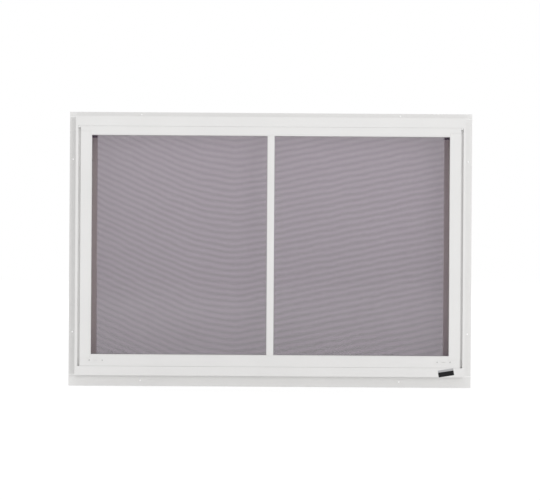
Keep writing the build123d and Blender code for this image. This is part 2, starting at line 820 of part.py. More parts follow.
def make_case():
    """The drive's open box on the sill's floor, bored for the bar and the shaft."""
    outer_x = (-case_half_width, case_half_width)
    inner_x = (-case_half_width + case_wall, case_half_width - case_wall)
    case = slab(outer_x, (case_front, case_back), (sill_floor, case_top))
    case -= slab(inner_x, (case_front + case_wall, case_back - case_wall),
                 (sill_floor + case_floor, case_top))
    flange_x = case_half_width + bearing_flange
    case += slab((-flange_x, flange_x), (case_front, case_back), (sill_floor, sill_floor + flange_thickness))
    case -= slab(inner_x, (case_front + case_wall, case_back - case_wall),
                 (sill_floor + case_floor, case_top))
    case -= rod((-flange_x, bar_y, bar_z), (flange_x, bar_y, bar_z), bar_radius + run_clearance)
    case -= rod((0, case_front - cut_past, worm_z), (0, bar_y, worm_z), stub_radius + run_clearance)
    case -= rod((0, bar_y, worm_z), (0, case_back + cut_past, worm_z), shaft_radius + run_clearance)
    for x, y in case_screws():
        case -= screw_hole((x, y, sill_floor - cut_past), (x, y, sill_floor + flange_thickness + cut_past))
    return case


def case_screws():
    x = case_half_width + bearing_flange / 2
    near = case_front + bearing_flange / 2
    far = case_back - bearing_flange / 2
    return [(-x, near), (x, near), (-x, far), (x, far)]


def make_case_lid():
    return slab((-case_half_width, case_half_width), (case_front, case_back),
                (case_top, case_top + lid_thickness))


def make_escutcheon():
    """The plate and boss on the sill's room wall that steady the shaft."""
    plate = slab((-plate_width / 2, plate_width / 2), (room_y, room_y + plate_thickness),
                 (-half_height, screen_bottom - seat_gap))
    boss = rod((0, room_y, worm_z), (0, room_y + boss_length, worm_z), boss_radius)
    boss = chamfer(boss.edges().group_by(Axis.Y)[-1], boss_chamfer)
    whole = plate + boss
    whole -= rod((0, room_y - cut_past, worm_z), (0, room_y + boss_length + cut_past, worm_z),
                 shaft_radius + run_clearance)
    for x, z in escutcheon_screws():
        whole -= screw_hole((x, room_y - cut_past, z), (x, room_y + plate_thickness + cut_past, z))
    return whole


def escutcheon_screws():
    x = plate_width / 2 - plate_screw_inset
    z = (-half_height + screen_bottom) / 2
    return [(-x, z), (x, z)]


hub_start = room_y + boss_length + 2 * seat_gap
arm_start = hub_start + (hub_length - crank_thickness) / 2
arm_end = arm_start + crank_thickness
arm_mid = (arm_start + arm_end) / 2


def make_crank():
    """The crank: a hub on the shaft, a tapered arm and the pin that the knob turns on."""
    shaft_end = room_y + shaft_past_frame
    hub = rod((0, hub_start, worm_z), (0, hub_start + hub_length + hub_cap, worm_z), hub_radius)
    hub = fillet(hub.edges().group_by(Axis.Y)[-1], hub_round)
    wide = hub_radius - arm_hub_margin
    outline = Polyline((0, -wide), (crank_radius, -crank_tip_radius), (crank_radius, crank_tip_radius),
                       (0, wide), close=True)
    face = Plane(origin=(0, arm_end, worm_z), x_dir=(1, 0, 0), z_dir=(0, -1, 0)) * make_face(outline)
    arm = extrude(face, crank_thickness, dir=(0, -1, 0))
    arm += rod((crank_radius, arm_start, worm_z), (crank_radius, arm_end, worm_z), crank_tip_radius)
    pin_end = arm_end + knob_length + 2 * seat_gap
    pin = rod((crank_radius, arm_end, worm_z), (crank_radius, pin_end, worm_z), knob_pin_radius)
    pin_tip = (crank_radius, pin_end + pivot_head, worm_z)
    pin += rod((crank_radius, pin_end, worm_z), pin_tip, pivot_head_radius)
    crank = hub + arm + pin
    bore_end = (0, shaft_end + run_clearance, worm_z)
    crank -= rod((0, hub_start - cut_past, worm_z), bore_end, shaft_radius + run_clearance)
    return crank - screw_hole((0, arm_mid, worm_z - hub_radius - cut_past), (0, arm_mid, worm_z))


def make_set_screw():
    outer = (0, arm_mid, worm_z - hub_radius + set_screw_sink)
    return rod(outer, (0, arm_mid, worm_z - shaft_radius - run_clearance), screw_radius)


def make_knob():
    start = (crank_radius, arm_end + seat_gap, worm_z)
    end = (crank_radius, arm_end + seat_gap + knob_length, worm_z)
    knob = rod(start, end, knob_radius)
    knob = fillet(knob.edges().group_by(Axis.Y)[-1], knob_round)
    knob = fillet(knob.edges().group_by(Axis.Y)[0], knob_foot_round)
    return knob - rod(start, end, knob_pin_radius + run_clearance)


save("worm_wheel", make_wheel())
save("worm_shaft", make_worm_shaft())
save("drive_case", make_case())
save("drive_lid", make_case_lid())
save("case_screws", *[floor_screw(x, y) for x, y in case_screws()])
save("escutcheon", make_escutcheon())
save("escutcheon_screws", *[screw((x, room_y + plate_thickness, z), (0, -1, 0), plate_thickness + shell_wall)
                            for x, z in escutcheon_screws()])
save("crank_arm", make_crank())
save("crank_set_screw", make_set_screw())
save("crank_knob", make_knob())


# Insect screen: four rails, corner keys, mesh and the cord that holds it
screen_inner_x = screen_x - screen_rail
screen_inner_z = (screen_bottom + screen_rail, screen_top - screen_rail)
groove_x = screen_inner_x + groove_inset
groove_z = (screen_inner_z[0] - groove_inset, screen_inner_z[1] + groove_inset)


def window_ring(half, low, high, width, y):
    """A rectangular ring of one width around an opening of a half width and two heights."""
    ring = slab((-half - width, half + width), y, (low - width, high + width))
    return ring - slab((-half, half), y, (low, high))


def cut_groove(rail):
    """Cut the cord's groove and the mesh's rebate into a piece of the screen's frame."""
    groove = window_ring(groove_x, groove_z[0], groove_z[1], screen_groove, (room_y - groove_depth, room_y))
    rebate = slab((-groove_x, groove_x), (room_y - rebate_depth, room_y), groove_z)
    return rail - groove - rebate


def make_screen_side():
    tall = (screen_bottom + key_length, screen_top - key_length)
    return cut_groove(slab((screen_inner_x, screen_x), (screen_front, room_y), tall))


def make_screen_level(low):
    reach = screen_x - key_length
    return cut_groove(slab((-reach, reach), (screen_front, room_y), (low, low + screen_rail)))


def make_screen_corners():
    """Four angled keys that join the rails."""
    y = (screen_front, room_y)
    keys = []
    for low, high in ((screen_bottom, screen_bottom + key_length), (screen_top - key_length, screen_top)):
        key = slab((screen_x - key_length, screen_x), y, (low, high))
        key -= slab((-screen_inner_x, screen_inner_x), y, screen_inner_z)
        keys.extend(both_sides(cut_groove(key)))
    return keys


def make_screen_cord():
    """The soft cord pressed into the groove around the mesh."""
    side = screen_groove - 2 * run_clearance
    return window_ring(groove_x + run_clearance, groove_z[0] - run_clearance, groove_z[1] + run_clearance,
                       side, (room_y - groove_depth, room_y - rebate_depth + mesh_thickness))


def make_mesh():
    """The mesh as one sheet with rows of gaps."""
    width = 2 * screen_inner_x
    height = screen_inner_z[1] - screen_inner_z[0]
    step_x = width / mesh_columns
    step_z = height / mesh_rows
    middle_z = (groove_z[0] + groove_z[1]) / 2
    outer = Wire.make_rect(2 * groove_x, groove_z[1] - groove_z[0])
    gaps = []
    for column in range(mesh_columns):
        for row in range(mesh_rows):
            x = -screen_inner_x + (column + 0.5) * step_x
            z = screen_inner_z[0] + (row + 0.5) * step_z - middle_z
            gap = Wire.make_rect(step_x - strand_width, step_z - strand_width)
            gaps.append(gap.moved(Location((x, z, 0))))
    sheet = Solid.extrude(Face(outer, gaps), Vector(0, 0, mesh_thickness))
    place = Plane(origin=(0, room_y - rebate_depth, middle_z), x_dir=(-1, 0, 0), z_dir=(0, 1, 0))
    return place * Part(sheet.wrapped)


def make_clip(place):
    """A turn clip over the edge of the screen, pivoted on the jamb."""
    x, z = place
    y = (room_y + seat_gap, room_y + seat_gap + clip_thickness)
    tip = x - clip_length + clip_width / 2
    clip = slab((tip, x), y, (z - clip_width / 2, z + clip_width / 2))
    clip += rod((x, y[0], z), (x, y[1], z), clip_width / 2)
    return clip - screw_hole((x, y[0] - cut_past, z), (x, y[1] + cut_past, z))


def make_clip_screws():
    screws = []
    for x, z in clip_places():
        seat = (x, room_y + 2 * seat_gap + clip_thickness, z)
        screws.extend(both_sides(screw(seat, (0, -1, 0))))
    return screws


right_jamb = make_jamb()
save("right_jamb", right_jamb)
save("left_jamb", across(right_jamb))
save("head", make_head())
save("sill", make_sill())
save("screen_right_rail", make_screen_side())
save("screen_left_rail", across(make_screen_side()))
save("screen_top_rail", make_screen_level(screen_top - screen_rail))
save("screen_bottom_rail", make_screen_level(screen_bottom))
save("screen_corners", *make_screen_corners())
save("screen_cord", make_screen_cord())
save("screen_mesh", make_mesh())
low_clip, high_clip = [make_clip(place) for place in clip_places()]
save("lower_right_clip", low_clip)
save("lower_left_clip", across(low_clip))
save("upper_right_clip", high_clip)
save("upper_left_clip", across(high_clip))
save("clip_screws", *make_clip_screws())
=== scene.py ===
# %% [markdown]
# A white aluminium window, seen from outside
#
# The window is top hung: its sash swings out at the bottom, turned by a crank on the room side.
# The solids of every piece come in as a fixed frame, in metres. This lesson dresses them: it gives
# each piece its finish, and replaces the few soft pieces by meshes with a finer form.

# %% Load the frame
import math

import bpy
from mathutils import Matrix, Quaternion, Vector


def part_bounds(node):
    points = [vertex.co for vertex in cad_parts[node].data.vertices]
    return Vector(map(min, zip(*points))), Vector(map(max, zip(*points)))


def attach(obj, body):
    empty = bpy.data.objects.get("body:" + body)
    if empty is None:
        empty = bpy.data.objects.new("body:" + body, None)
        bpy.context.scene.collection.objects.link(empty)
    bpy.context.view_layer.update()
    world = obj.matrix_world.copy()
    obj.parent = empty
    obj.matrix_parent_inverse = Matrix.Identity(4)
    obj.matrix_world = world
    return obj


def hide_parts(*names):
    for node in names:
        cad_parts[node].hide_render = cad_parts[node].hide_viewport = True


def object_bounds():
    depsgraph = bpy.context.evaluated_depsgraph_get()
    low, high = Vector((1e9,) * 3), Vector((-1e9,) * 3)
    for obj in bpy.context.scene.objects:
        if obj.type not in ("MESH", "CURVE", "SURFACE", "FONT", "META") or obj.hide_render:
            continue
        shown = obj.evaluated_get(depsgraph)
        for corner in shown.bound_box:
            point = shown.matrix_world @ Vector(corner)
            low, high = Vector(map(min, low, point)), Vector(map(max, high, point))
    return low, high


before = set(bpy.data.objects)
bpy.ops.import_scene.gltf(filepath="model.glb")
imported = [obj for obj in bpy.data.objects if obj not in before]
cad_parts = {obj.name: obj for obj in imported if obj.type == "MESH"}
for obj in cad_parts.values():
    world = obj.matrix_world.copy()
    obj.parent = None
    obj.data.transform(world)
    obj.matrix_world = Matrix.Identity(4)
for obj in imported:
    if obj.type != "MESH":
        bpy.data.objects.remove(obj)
solid_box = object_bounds()

# %% [markdown]
# Small helpers for meshes
#
# Most soft pieces of a window are extrusions: one section, drawn once, that runs round an opening
# or along a bar. A curve with a bevel object could do it, but its corners pinch. Writing the
# vertices is as short, and a mitred corner comes out exact: a point of the section that lies
# further out simply runs round a larger rectangle.

# %% Rings and bars from one section
MM = 0.001
SHARP_ANGLE = math.radians(40)


def mesh_piece(name, points, faces, smooth=True):
    mesh = bpy.data.meshes.new(name)
    mesh.from_pydata(points, [], faces)
    mesh.update()
    if smooth:
        mesh.shade_smooth()
        mesh.set_sharp_from_angle(angle=SHARP_ANGLE)
    piece = bpy.data.objects.new(name, mesh)
    bpy.context.scene.collection.objects.link(piece)
    return piece


def skin(rows, first, closed):
    """Quads between neighbouring rows of points, with flat ends unless the rows make a ring.

    The points are numbered from first on.
    """
    count = len(rows[0])
    points = [point for row in rows for point in row]
    faces = []
    spans = len(rows) if closed else len(rows) - 1
    for row in range(spans):
        here = first + row * count
        there = first + (row + 1) % len(rows) * count
        for step in range(count):
            after = (step + 1) % count
            faces.append((here + step, here + after, there + after, there + step))
    if not closed:
        faces.append(tuple(first + step for step in reversed(range(count))))
        faces.append(tuple(first + (len(rows) - 1) * count + step for step in range(count)))
    return points, faces


def ring_rows(section, x, z):
    """A section of (outward, y) points run round the rectangle x, z."""
    corners = [(x[0], z[0], -1, -1), (x[1], z[0], 1, -1), (x[1], z[1], 1, 1), (x[0], z[1], -1, 1)]
    return [[(cx + sx * out, y, cz + sz * out) for out, y in section] for cx, cz, sx, sz in corners]


def bar_rows(section, low, high, axis):
    """A section of (across, y) points run along X or along Z, from low to high."""
    if axis == "X":
        return [[(end, y, across) for across, y in section] for end in (low, high)]
    return [[(across, y, end) for across, y in section] for end in (high, low)]


def skin_bars(bars):
    """One mesh from several bars, each given by its rows."""
    points, faces = [], []
    for rows in bars:
        more, quads = skin(rows, len(points), closed=False)
        points += more
        faces += quads
    return points, faces


# %% [markdown]
# The insect mesh
#
# A screen's mesh is woven from coated glass yarn, with a gap every millimetre and a half. An image
# of dots would do for one view, but close up it is flat. Straight strands cost little: each is a
# flat six sided bar. The uprights lie in front and the level ones behind, and they overlap a
# little, as strands do where the coating melts them together. The whole is a cloth that the
# screen's rails stretch flat.

# %% Make the strands
PITCH_X = 1.41 * MM
PITCH_Z = 1.59 * MM
STRAND_WIDTH = 0.72 * MM
STRAND_DEPTH = 0.30 * MM
STRAND_OFFSET = STRAND_DEPTH / 3
STRAND_SIDES = 6


def strand_section(across, y):
    section = []
    for side in range(STRAND_SIDES):
        angle = 2 * math.pi * side / STRAND_SIDES
        section.append((across + STRAND_WIDTH / 2 * math.cos(angle),
                        y + STRAND_DEPTH / 2 * math.sin(angle)))
    return section


def make_insect_mesh():
    low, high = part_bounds("screen_mesh")
    middle = (low.y + high.y) / 2
    columns = int((high.x - low.x) / PITCH_X)
    lines = int((high.z - low.z) / PITCH_Z)
    strands = []
    for column in range(columns):
        x = low.x + (column + 0.5) * PITCH_X
        strands.append(bar_rows(strand_section(x, middle - STRAND_OFFSET), low.z, high.z, "Z"))
    for line in range(lines):
        z = low.z + (line + 0.5) * PITCH_Z
        strands.append(bar_rows(strand_section(z, middle + STRAND_OFFSET), low.x, high.x, "X"))
    print("insect mesh:", columns, "upright strands and", lines, "level ones")
    return mesh_piece("insect_mesh", *skin_bars(strands))


insect_mesh = make_insect_mesh()
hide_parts("screen_mesh")
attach(insect_mesh, "frame")

# %% [markdown]
# The cord that holds the mesh
#
# The mesh is rolled into a groove with a soft cord. Its ribs run lengthwise, so they are part of
# the section: an oval whose radius rises and falls seven times. The ring is that section run round
# the groove with mitred corners.

# %% Make the ribbed cord
CORD_WIDTH = 2.9 * MM
CORD_RIBS = 7
CORD_STEPS = 42
CORD_RIB_SHARE = 0.14


def make_ribbed_cord():
    low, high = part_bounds("screen_cord")
    half_width = CORD_WIDTH / 2
    half_depth = (high.y - low.y) / 2
    middle = (low.y + high.y) / 2
    section = []
    for step in range(CORD_STEPS):
        angle = 2 * math.pi * step / CORD_STEPS
        reach = 1 - CORD_RIB_SHARE * (0.5 + 0.5 * math.cos(CORD_RIBS * angle))
        section.append((half_width * reach * math.cos(angle),
                        middle + half_depth * reach * math.sin(angle)))
    x = (low.x + half_width, high.x - half_width)
    z = (low.z + half_width, high.z - half_width)
    points, faces = skin(ring_rows(section, x, z), 0, closed=True)
    print("ribbed cord: %.0f mm round" % (2 * (x[1] - x[0] + z[1] - z[0]) / MM))
    return mesh_piece("ribbed_cord", points, faces)


ribbed_cord = make_ribbed_cord()
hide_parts("screen_cord")
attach(ribbed_cord, "frame")

# %% [markdown]
# The bulb strips
#
# Rubber strips on the frame's stops keep the weather out. Each has a flat foot and a soft bulb,
# which the closed sash squeezes. A bevelled curve could give the form, but its ends would need caps.
# The strips are straight and cut off square, so the bars of the helpers above are enough.

# %% Make the bulb strips
FOOT_THICK = 0.9 * MM
BULB_RADIUS = 2.3 * MM
BULB_STEPS = 14
BULB_START = math.radians(-190)
BULB_TURN = math.radians(200)
# Points of the solid strips this near an edge of their box belong to the strip along that edge.
SIDE_ZONE = 6.5 * MM


def part_box(node, inside):
    """The corners of those points of a node that pass a test."""
    points = [v.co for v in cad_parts[node].data.vertices if inside(v.co)]
    low = Vector([min(p[i] for p in points) for i in range(3)])
    high = Vector([max(p[i] for p in points) for i in range(3)])
    return low, high


def bulb_section(low, high, front, back):
    """A flat foot against the stop and a bulb that reaches to the front."""
    middle = (low + high) / 2
    neck = back - FOOT_THICK
    centre = front + BULB_RADIUS
    section = [(high, neck), (high, back), (low, back), (low, neck)]
    for step in range(BULB_STEPS + 1):
        angle = BULB_START + BULB_TURN * step / BULB_STEPS
        section.append((middle + BULB_RADIUS * math.cos(angle),
                        centre + BULB_RADIUS * math.sin(angle)))
    return section


def make_bulb_strips():
    low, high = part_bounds("weatherstrip")
    sides = [part_box("weatherstrip", lambda p: p.x < low.x + SIDE_ZONE),
             part_box("weatherstrip", lambda p: p.x > high.x - SIDE_ZONE)]
    level = [part_box("weatherstrip", lambda p: p.z > high.z - SIDE_ZONE),
             part_box("weatherstrip", lambda p: p.z < low.z + SIDE_ZONE)]
    strips = [bar_rows(bulb_section(a.x, b.x, a.y, b.y), a.z, b.z, "Z") for a, b in sides]
    strips += [bar_rows(bulb_section(a.z, b.z, a.y, b.y), a.x, b.x, "X") for a, b in level]
    print("bulb strips:", len(strips))
    return mesh_piece("bulb_strips", *skin_bars(strips))


bulb_strips = make_bulb_strips()
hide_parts("weatherstrip")
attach(bulb_strips, "frame")

# %% [markdown]
# The glazing gaskets
#
# A rubber ring seals each pane in the sash. Its lip bears on the glass, and a ridge stands behind
# the lip. Four plain boxes would do from afar, but the lip shows at the edge of the glass. So the
# section is drawn point by point and run round the pane, which mitres the corners.

# %% Make the glazing gaskets
# The section, measured inward from the gasket's outer edge: a dip, a ridge and a lip.
GASKET_WIDTH = 4.0 * MM
GASKET_DIP = 0.8 * MM
RIDGE_OUTER = 1.2 * MM
RIDGE_INNER = 2.0 * MM
RIDGE_FOOT = 2.4 * MM
LIP_ROOT = 3.0 * MM
GASKET_LIP = 0.5 * MM
LIP_ROOT_THICK = 0.7 * MM


def make_lipped_gasket(node, name):
    """A ring whose inner edge thins to a lip that lies on the glass."""
    low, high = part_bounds(node)
    heel = low.y + GASKET_LIP
    section = [(0, low.y), (0, high.y), (-GASKET_WIDTH, high.y),
               (-GASKET_WIDTH, high.y - GASKET_LIP), (-LIP_ROOT, high.y - LIP_ROOT_THICK),
               (-RIDGE_FOOT, heel), (-RIDGE_INNER, low.y), (-RIDGE_OUTER, low.y),
               (-GASKET_DIP, heel)]
    points, faces = skin(ring_rows(section, (low.x, high.x), (low.z, high.z)), 0, closed=True)
    piece = mesh_piece(name, points, faces)
    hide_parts(node)
    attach(piece, "sash")
    print(name, "around %.0f by %.0f mm" % ((high.x - low.x) / MM, (high.z - low.z) / MM))
    return piece


left_lip = make_lipped_gasket("left_gasket", "left_lipped_gasket")
right_lip = make_lipped_gasket("right_gasket", "right_lipped_gasket")

# %% [markdown]
# The paper label
#
# A small label is stuck askew near the right end of the sill. It is a thin sheet with rounded
# corners, pale above and black below, and it is left blank. It is modelled flat, turned a little,
# and set on the sill's face.

# %% Make the blank label
LABEL_WIDTH = 36.0 * MM
LABEL_HEIGHT = 16.0 * MM
LABEL_CORNER = 1.2 * MM
LABEL_THICK = 0.15 * MM
LABEL_X = 406.5 * MM
LABEL_TURN = math.radians(9)
CORNER_STEPS = 4
LABEL_DROP = 0.2 * MM


def make_blank_label():
    sill_low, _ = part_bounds("sill")
    rail_low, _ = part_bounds("bottom_rail")
    jamb_low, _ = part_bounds("left_jamb")
    middle_z = (jamb_low.z + rail_low.z) / 2 - LABEL_DROP
    reach_x = LABEL_WIDTH / 2 - LABEL_CORNER
    reach_z = LABEL_HEIGHT / 2 - LABEL_CORNER
    outline = []
    for quarter, (sx, sz) in enumerate(((1, 1), (-1, 1), (-1, -1), (1, -1))):
        for step in range(CORNER_STEPS + 1):
            angle = math.pi / 2 * (quarter + step / CORNER_STEPS)
            outline.append((sx * reach_x + LABEL_CORNER * math.cos(angle),
                            sz * reach_z + LABEL_CORNER * math.sin(angle)))
    rows = [[(x, y, z) for x, z in outline] for y in (0.0, -LABEL_THICK)]
    points, faces = skin(rows, 0, closed=False)
    piece = mesh_piece("blank_label", points, faces)
    piece.location = (LABEL_X, sill_low.y, middle_z)
    piece.rotation_euler = (0, -LABEL_TURN, 0)
    print("label: %.0f by %.0f mm" % (LABEL_WIDTH / MM, LABEL_HEIGHT / MM))
    return piece


blank_label = make_blank_label()
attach(blank_label, "frame")

# %% [markdown]
# Finishes
#
# Each finish is a small tree of nodes around one Principled shader. Noise in the object's own space
# breaks up colour and gloss at the scale of the real finish: a powder coat has a faint orange peel,
# plated steel has drawn lines, a cast handle is coarser. Sizes are in metres, so a noise scale of
# 1000 gives marks about a millimetre wide.

# %% Helpers for finishes
NOISE_LOW = 0.3
NOISE_HIGH = 0.7
FINISHES = {}


def new_finish(name, colour, roughness, metallic=0.0):
    material = bpy.data.materials.new(name)
    material.use_nodes = True
    shader = material.node_tree.nodes["Principled BSDF"]
    shader.inputs["Base Color"].default_value = (*colour, 1.0)
    shader.inputs["Roughness"].default_value = roughness
    shader.inputs["Metallic"].default_value = metallic
    return material, shader


def own_space(material, stretch=(1, 1, 1)):
    """The object's own coordinates, stretched where the finish has a direction."""
    tree = material.node_tree
    where = tree.nodes.new("ShaderNodeTexCoord")
    mapping = tree.nodes.new("ShaderNodeMapping")
    mapping.inputs["Scale"].default_value = stretch
    tree.links.new(where.outputs["Object"], mapping.inputs["Vector"])
    return mapping.outputs["Vector"]


def marks(material, scale, detail=2.0, stretch=(1, 1, 1)):
    """Soft noise in the object's own space."""
    noise = material.node_tree.nodes.new("ShaderNodeTexNoise")
    noise.inputs["Scale"].default_value = scale
    noise.inputs["Detail"].default_value = detail
    material.node_tree.links.new(own_space(material, stretch), noise.inputs["Vector"])
    return noise.outputs["Fac"]


def spread(material, source, low, high):
    """Bring noise, which stays near the middle, to the range from low to high."""
    reach = material.node_tree.nodes.new("ShaderNodeMapRange")
    reach.inputs["From Min"].default_value = NOISE_LOW
    reach.inputs["From Max"].default_value = NOISE_HIGH
    reach.inputs["To Min"].default_value = low
    reach.inputs["To Max"].default_value = high
    material.node_tree.links.new(source, reach.inputs["Value"])
    return reach.outputs["Result"]


def tint(material, shader, source, dark, light):
    """Run the colour from dark to light along the source."""
    mix = material.node_tree.nodes.new("ShaderNodeMix")
    mix.data_type = "RGBA"
    mix.inputs["A"].default_value = (*dark, 1.0)
    mix.inputs["B"].default_value = (*light, 1.0)
    material.node_tree.links.new(source, mix.inputs["Factor"])
    material.node_tree.links.new(mix.outputs["Result"], shader.inputs["Base Color"])


def relief(material, shader, source, height):
    """Raise the surface by up to that many metres."""
    bump = material.node_tree.nodes.new("ShaderNodeBump")
    bump.inputs["Strength"].default_value = 1.0
    bump.inputs["Distance"].default_value = height
    material.node_tree.links.new(source, bump.inputs["Height"])
    material.node_tree.links.new(bump.outputs["Normal"], shader.inputs["Normal"])


def shade_of(colour, share):
    return tuple(min(1.0, part * share) for part in colour)


def mottle(material, shader, colour, source, dark, light):
    """Let the colour wander between two shares of itself."""
    wander = spread(material, source, 0.0, 1.0)
    tint(material, shader, wander, shade_of(colour, dark), shade_of(colour, light))


def uneven_gloss(material, shader, source, low, high):
    gloss = spread(material, source, low, high)
    material.node_tree.links.new(gloss, shader.inputs["Roughness"])


def calculate(tree, operation, first, second=None):
    node = tree.nodes.new("ShaderNodeMath")
    node.operation = operation
    for place, value in enumerate((first, second)):
        if value is None:
            continue
        if isinstance(value, (int, float)):
            node.inputs[place].default_value = value
        else:
            tree.links.new(value, node.inputs[place])
    return node.outputs["Value"]


# %% [markdown]
# The white coats
#
# The frame and the sash are powder coated, and the baked powder has a faint orange peel. The crank
# and its case are castings with a coarser coat of paint, and the knob and the hinge bushes are
# moulded plastic. One even white on all of them would look like paper. Each gets its own slow drift
# of tone and its own fine relief instead.

# %% White coats
COAT_WHITE = (0.775, 0.770, 0.762)
CAST_WHITE = (0.760, 0.758, 0.745)
PLASTIC_WHITE = (0.780, 0.780, 0.770)


def powder_coat():
    material, shader = new_finish("powder_coat", COAT_WHITE, roughness=0.42)
    mottle(material, shader, COAT_WHITE, marks(material, scale=9.0, detail=3.0),
           dark=0.985, light=1.012)
    relief(material, shader, marks(material, scale=1400.0, detail=1.0), height=0.02 * MM)
    uneven_gloss(material, shader, marks(material, scale=60.0), low=0.38, high=0.47)
    return material


def cast_paint():
    material, shader = new_finish("cast_paint", CAST_WHITE, roughness=0.48)
    mottle(material, shader, CAST_WHITE, marks(material, scale=40.0, detail=3.0),
           dark=0.97, light=1.015)
    relief(material, shader, marks(material, scale=700.0, detail=3.0), height=0.06 * MM)
    return material


def moulded_white():
    material, shader = new_finish("moulded_white", PLASTIC_WHITE, roughness=0.33)
    mottle(material, shader, PLASTIC_WHITE, marks(material, scale=90.0), dark=0.98, light=1.01)
    relief(material, shader, marks(material, scale=2600.0, detail=1.0), height=0.015 * MM)
    return material


FINISHES["white_aluminium"] = powder_coat()
FINISHES["white_cast_metal"] = cast_paint()
FINISHES["white_plastic"] = moulded_white()
print("finishes with the white coats:", len(FINISHES))

# %% [markdown]
# The metals
#
# Screws, pins, arms and links are plated steel with fine drawn lines, and the worm wheel is bronze
# with small pores. The screen's rails and clips are anodised aluminium, a dull finish that is only
# partly metallic to the shader. Lines could be drawn one by one, but noise gives them too: where
# the coordinates are stretched across the lines, its marks come out long and thin.

# %% Metals
STEEL = (0.56, 0.56, 0.55)
BRONZE = (0.55, 0.37, 0.17)
RAIL_BRONZE = (0.582, 0.532, 0.480)


def plated_steel():
    material, shader = new_finish("plated_steel", STEEL, roughness=0.3, metallic=1.0)
    drawn = marks(material, scale=300.0, stretch=(1, 9, 9))
    mottle(material, shader, STEEL, drawn, dark=0.9, light=1.08)
    uneven_gloss(material, shader, marks(material, scale=500.0), low=0.24, high=0.38)
    relief(material, shader, drawn, height=0.01 * MM)
    return material


def wheel_bronze():
    material, shader = new_finish("wheel_bronze", BRONZE, roughness=0.4, metallic=1.0)
    pores = marks(material, scale=2200.0, detail=3.0)
    mottle(material, shader, BRONZE, pores, dark=0.75, light=1.06)
    relief(material, shader, pores, height=0.02 * MM)
    return material


def anodised_rail():
    material, shader = new_finish("anodised_rail", RAIL_BRONZE, roughness=0.4, metallic=0.25)
    drawn = marks(material, scale=260.0, stretch=(12, 12, 0.4))
    mottle(material, shader, RAIL_BRONZE, drawn, dark=0.95, light=1.04)
    relief(material, shader, drawn, height=0.01 * MM)
    return material


FINISHES["plated_steel"] = plated_steel()
FINISHES["bronze"] = wheel_bronze()
FINISHES["bronze_aluminium"] = anodised_rail()
print("finishes with the metals:", len(FINISHES))

# %% [markdown]
# Rubber, nylon and glass
#
# The seals and the blocks under the glass are rubber, and the screen's corners and the bearings are
# nylon. Both are nearly black, and differ in gloss and grain. Glass could be a refracting solid, but
# a flat pane hardly bends what is seen through it, and such light is slow to come clean. So the
# pane's faces let most of the light straight through and add a little tint.

# %% Rubber, nylon and glass
RUBBER = (0.022, 0.022, 0.023)
NYLON = (0.016, 0.016, 0.018)
GLASS = (0.152, 0.090, 0.155)
GLASS_COVER = 0.20


def soft_rubber():
    material, shader = new_finish("soft_rubber", RUBBER, roughness=0.62)
    mottle(material, shader, RUBBER, marks(material, scale=120.0, detail=4.0), dark=0.8, light=1.5)
    relief(material, shader, marks(material, scale=3000.0), height=0.02 * MM)
    return material


def moulded_nylon():
    material, shader = new_finish("moulded_nylon", NYLON, roughness=0.5)
    mottle(material, shader, NYLON, marks(material, scale=200.0), dark=0.8, light=1.3)
    relief(material, shader, marks(material, scale=2400.0), height=0.03 * MM)
    return material


def window_glass():
    """Thin glass with a touch of violet. Each of its faces hides a fifth of what lies behind."""
    material, shader = new_finish("window_glass", GLASS, roughness=0.03)
    shader.inputs["Alpha"].default_value = GLASS_COVER
    mottle(material, shader, GLASS, marks(material, scale=3.0, detail=3.0), dark=0.9, light=1.1)
    return material


FINISHES["black_rubber"] = soft_rubber()
FINISHES["black_nylon"] = moulded_nylon()
FINISHES["glass"] = window_glass()
print("finishes with rubber, nylon and glass:", len(FINISHES))

# %% [markdown]
# The mesh's finish, with painted light and shade
#
# Coated yarn is grey with a touch of violet. Its colour also carries painted light and shade. The
# shade comes as slow wavy bands that bend twice across the left half of the window, once widely and
# once sharply. The bands are worked out from the place on the mesh: level lines, a tilt and the two
# bends. Painted light also makes the yarn lighter towards the top and darker towards the bottom.

# %% The yarn
YARN = (0.344, 0.298, 0.339)
# The BAND values shape the painted bands of light and shade.
BAND_STEP = 14.6 * MM
BAND_TILT = 0.135
WIDE_BEND = {"x": -172.0 * MM, "soft": 59.0 * MM, "fold": 0.195}
SHARP_BEND = {"x": -80.0 * MM, "soft": 12.0 * MM, "fold": 0.14}
PAINTED_BAND_DEPTH = 0.195
BAND_WANDER = 0.12
WANDER_SCALE = 25.0
PAINTED_TOP_LIGHT = 0.43


def bent(tree, x, bend):
    """A softened corner: almost even at the bend's place, and growing steadily to both sides."""
    along = calculate(tree, "SUBTRACT", x, bend["x"])
    square = calculate(tree, "MULTIPLY", along, along)
    soft = calculate(tree, "SQRT", calculate(tree, "ADD", square, bend["soft"] ** 2))
    return calculate(tree, "MULTIPLY", soft, bend["fold"])


